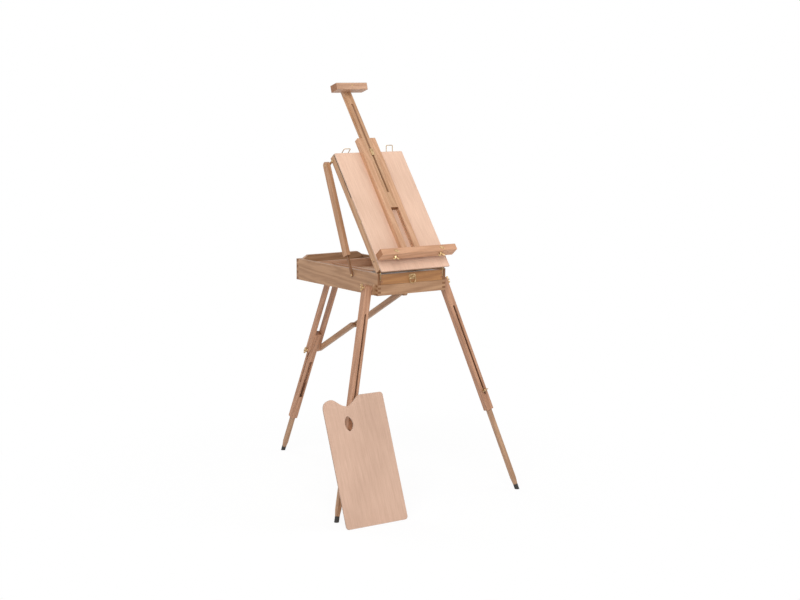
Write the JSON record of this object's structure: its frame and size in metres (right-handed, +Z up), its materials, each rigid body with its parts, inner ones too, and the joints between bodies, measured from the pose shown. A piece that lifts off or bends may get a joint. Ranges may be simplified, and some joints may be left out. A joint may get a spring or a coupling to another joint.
{
  "type": "box easel",
  "caption": "Folding artist's easel: a sketch box with a drawer and a tilting lid, a sliding mast and ledge, telescopic folding legs and a loose palette.",
  "frame": {"origin": "on the floor, under the middle of the footprint, on the box's plane of symmetry", "axes": "+Z up, +X to the right seen from the drawer side, +Y towards the rear leg"},
  "size_m": [0.8451, 1.1465, 1.5079],
  "materials": {
    "beech": "satin varnished beech",
    "box_beech": "satin varnished beech",
    "drawer_face": "satin varnished beech",
    "mast_beech": "satin varnished beech",
    "plywood": "matte sealed plywood",
    "palette_ply": "matte sealed plywood",
    "brass": "polished",
    "zinc": "bright sheet zinc",
    "rubber": "matte"
  },
  "bodies": {
    "box": {"side_wall_right": "box_beech", "side_wall_left": "box_beech", "front_rail": "box_beech", "back_wall": "box_beech", "bottom_panel": "plywood", "back_fence": "box_beech", "drawer_runners": "beech", "hinge_plates_box": "brass", "hasp_catches": "brass", "stay_screws": "brass", "leg_wedges": "beech", "pivot_blocks": "beech", "pivot_bolts": "brass"},
    "drawer": {"drawer_front": "drawer_face", "drawer_sides": "beech", "drawer_back": "beech", "drawer_bottom": "plywood", "drawer_lining": "zinc", "drawer_dividers": "beech", "drawer_ring_plate": "brass"},
    "drawer_ring": {"drawer_ring": "brass"},
    "lid": {"lid_board": "plywood", "lid_side_bars": "beech", "lid_cross_rails": "beech", "guide_rails": "mast_beech", "lid_side_plates": "brass", "mast_clamp_bolt": "brass", "hasp_barrels": "brass"},
    "mast": {"mast": "mast_beech", "top_clamp": "mast_beech"},
    "mast_nut": {"mast_wing_nut": "brass"},
    "ledge": {"ledge": "mast_beech"},
    "ledge_screw_right": {"ledge_wing_screw_right": "brass"},
    "ledge_screw_left": {"ledge_wing_screw_left": "brass"},
    "hasp_right": {"hasp_right": "brass"},
    "hasp_left": {"hasp_left": "brass"},
    "stay_bar_right": {"stay_bar_right": "brass"},
    "stay_bar_left": {"stay_bar_left": "brass"},
    "stay_arm_right": {"stay_arm_right": "beech"},
    "stay_arm_left": {"stay_arm_left": "beech"},
    "front_leg_right": {"front_leg_right": "beech"},
    "front_leg_left": {"front_leg_left": "beech"},
    "leg_nut_right": {"leg_wing_nut_right": "brass"},
    "leg_nut_left": {"leg_wing_nut_left": "brass"},
    "front_rod_right": {"front_rod_right": "beech", "front_foot_right": "rubber"},
    "front_rod_left": {"front_rod_left": "beech", "front_foot_left": "rubber"},
    "rod_screw_right": {"rod_wing_screw_right": "brass"},
    "rod_screw_left": {"rod_wing_screw_left": "brass"},
    "rear_leg": {"rear_rails": "beech", "rear_clamp_bolt": "brass"},
    "rear_nut": {"rear_wing_nut": "brass"},
    "rear_section": {"rear_section": "beech"},
    "rear_rod": {"rear_rod": "beech", "rear_foot": "rubber"},
    "brace_upper": {"brace_upper": "beech", "brace_knee_bolt": "brass"},
    "brace_lower": {"brace_lower": "beech"},
    "palette": {"palette": "palette_ply"}
  },
  "joints": [
    {"name": "drawer_slide", "type": "slide", "parent": "box", "child": "drawer", "axis": [0, -1, 0], "range_m": [0, 0.35]},
    {"name": "drawer_ring_swing", "type": "hinge", "parent": "drawer", "child": "drawer_ring", "pos_m": [0, -0.34584, 0.821], "axis": [-1, 0, 0], "range_deg": [0, 90]},
    {"name": "lid_hinge", "type": "hinge", "parent": "box", "child": "lid", "pos_m": [0, -0.33312, 0.84], "axis": [1, 0, 0], "range_deg": [-52.6, 12]},
    {"name": "mast_slide", "type": "slide", "parent": "lid", "child": "mast", "axis": [0, 0.6074, 0.7944], "range_m": [-0.19, 0.165]},
    {"name": "mast_nut_turn", "type": "hinge", "parent": "lid", "child": "mast_nut", "pos_m": [0, -0.0397, 1.22378], "axis": [0, -0.7944, 0.6074], "continuous": true},
    {"name": "ledge_slide", "type": "slide", "parent": "lid", "child": "ledge", "axis": [0, 0.6074, 0.7944], "range_m": [0, 0.35]},
    {"name": "ledge_screw_turn_right", "type": "hinge", "parent": "ledge", "child": "ledge_screw_right", "pos_m": [0.1, -0.37844, 0.90372], "axis": [0, 0.6074, 0.7944], "continuous": true},
    {"name": "hasp_swing_right", "type": "hinge", "parent": "lid", "child": "hasp_right", "pos_m": [0.1, -0.05027, 1.25062], "axis": [1, 0, 0], "range_deg": [-125.4, 47.6]},
    {"name": "ledge_screw_turn_left", "type": "hinge", "parent": "ledge", "child": "ledge_screw_left", "pos_m": [-0.1, -0.37844, 0.90372], "axis": [0, 0.6074, 0.7944], "continuous": true},
    {"name": "hasp_swing_left", "type": "hinge", "parent": "lid", "child": "hasp_left", "pos_m": [-0.1, -0.05027, 1.25062], "axis": [1, 0, 0], "range_deg": [-170, 3]},
    {"name": "stay_bar_swing_right", "type": "hinge", "parent": "box", "child": "stay_bar_right", "pos_m": [0.153, -0.18612, 0.819], "axis": [1, 0, 0], "range_deg": [-68.12, 15.93]},
    {"name": "stay_arm_slide_right", "type": "slide", "parent": "stay_bar_right", "child": "stay_arm_right", "axis": [0, 0.3874, 0.9219], "range_m": [-0.0885, 0.0206]},
    {"name": "front_leg_fold_right", "type": "hinge", "parent": "box", "child": "front_leg_right", "pos_m": [0.17, -0.30112, 0.784], "axis": [0.9582, 0, 0.286], "range_deg": [0, 101.3]},
    {"name": "leg_nut_turn_right", "type": "hinge", "parent": "box", "child": "leg_nut_right", "pos_m": [0.17, -0.30112, 0.784], "axis": [0.9582, 0, 0.286], "continuous": true},
    {"name": "front_rod_slide_right", "type": "slide", "parent": "front_leg_right", "child": "front_rod_right", "axis": [0.2806, -0.1942, -0.94], "range_m": [-0.29, 0.01]},
    {"name": "rod_screw_turn_right", "type": "hinge", "parent": "front_rod_right", "child": "rod_screw_right", "pos_m": [0.29148, -0.38522, 0.37699], "axis": [-0.0555, -0.981, 0.1861], "continuous": true},
    {"name": "stay_bar_swing_left", "type": "hinge", "parent": "box", "child": "stay_bar_left", "pos_m": [-0.153, -0.18612, 0.819], "axis": [1, 0, 0], "range_deg": [-68.12, 15.93]},
    {"name": "stay_arm_slide_left", "type": "slide", "parent": "stay_bar_left", "child": "stay_arm_left", "axis": [0, 0.3874, 0.9219], "range_m": [-0.0885, 0.0206]},
    {"name": "front_leg_fold_left", "type": "hinge", "parent": "box", "child": "front_leg_left", "pos_m": [-0.17, -0.30112, 0.784], "axis": [0.9582, 0, -0.286], "range_deg": [0, 101.3]},
    {"name": "leg_nut_turn_left", "type": "hinge", "parent": "box", "child": "leg_nut_left", "pos_m": [-0.17, -0.30112, 0.784], "axis": [-0.9582, 0, 0.286], "continuous": true},
    {"name": "front_rod_slide_left", "type": "slide", "parent": "front_leg_left", "child": "front_rod_left", "axis": [-0.2806, -0.1942, -0.94], "range_m": [-0.29, 0.01]},
    {"name": "rod_screw_turn_left", "type": "hinge", "parent": "front_rod_left", "child": "rod_screw_left", "pos_m": [-0.29148, -0.38522, 0.37699], "axis": [0.0555, -0.981, 0.1861], "continuous": true},
    {"name": "rear_leg_fold", "type": "hinge", "parent": "box", "child": "rear_leg", "pos_m": [0, 0.18888, 0.74], "axis": [1, 0, 0], "range_deg": [-116.9, 0]},
    {"name": "rear_nut_turn", "type": "hinge", "parent": "rear_leg", "child": "rear_nut", "pos_m": [0, 0.33366, 0.45463], "axis": [1, 0, 0], "continuous": true},
    {"name": "rear_section_slide", "type": "slide", "parent": "rear_leg", "child": "rear_section", "axis": [0, 0.4524, -0.8918], "range_m": [-0.15, 0.006]},
    {"name": "rear_rod_slide", "type": "slide", "parent": "rear_section", "child": "rear_rod", "axis": [0, 0.4524, -0.8918], "range_m": [-0.15, 0]},
    {"name": "brace_upper_swing", "type": "hinge", "parent": "box", "child": "brace_upper", "pos_m": [0, -0.19812, 0.74], "axis": [1, 0, 0], "range_deg": [-1, 29.22]},
    {"name": "brace_lower_swing", "type": "hinge", "parent": "rear_leg", "child": "brace_lower", "pos_m": [0, 0.33366, 0.45463], "axis": [1, 0, 0], "range_deg": [-35.88, 1]},
    {"name": "palette_lift_off", "type": "slide", "parent": "box", "child": "palette", "axis": [0, -1, 0], "range_m": [0, 0.3]}
  ],
  "couplings": [
    {"joint": "stay_bar_swing_right", "follows": "lid_hinge", "ratio": 1.2856},
    {"joint": "stay_arm_slide_right", "follows": "lid_hinge", "m_per_rad": 0.09585},
    {"joint": "stay_bar_swing_left", "follows": "lid_hinge", "ratio": 1.2856},
    {"joint": "stay_arm_slide_left", "follows": "lid_hinge", "m_per_rad": 0.09585},
    {"joint": "brace_upper_swing", "follows": "rear_leg_fold", "ratio": -0.2414},
    {"joint": "brace_lower_swing", "follows": "rear_leg_fold", "ratio": 0.29838}
  ]
}
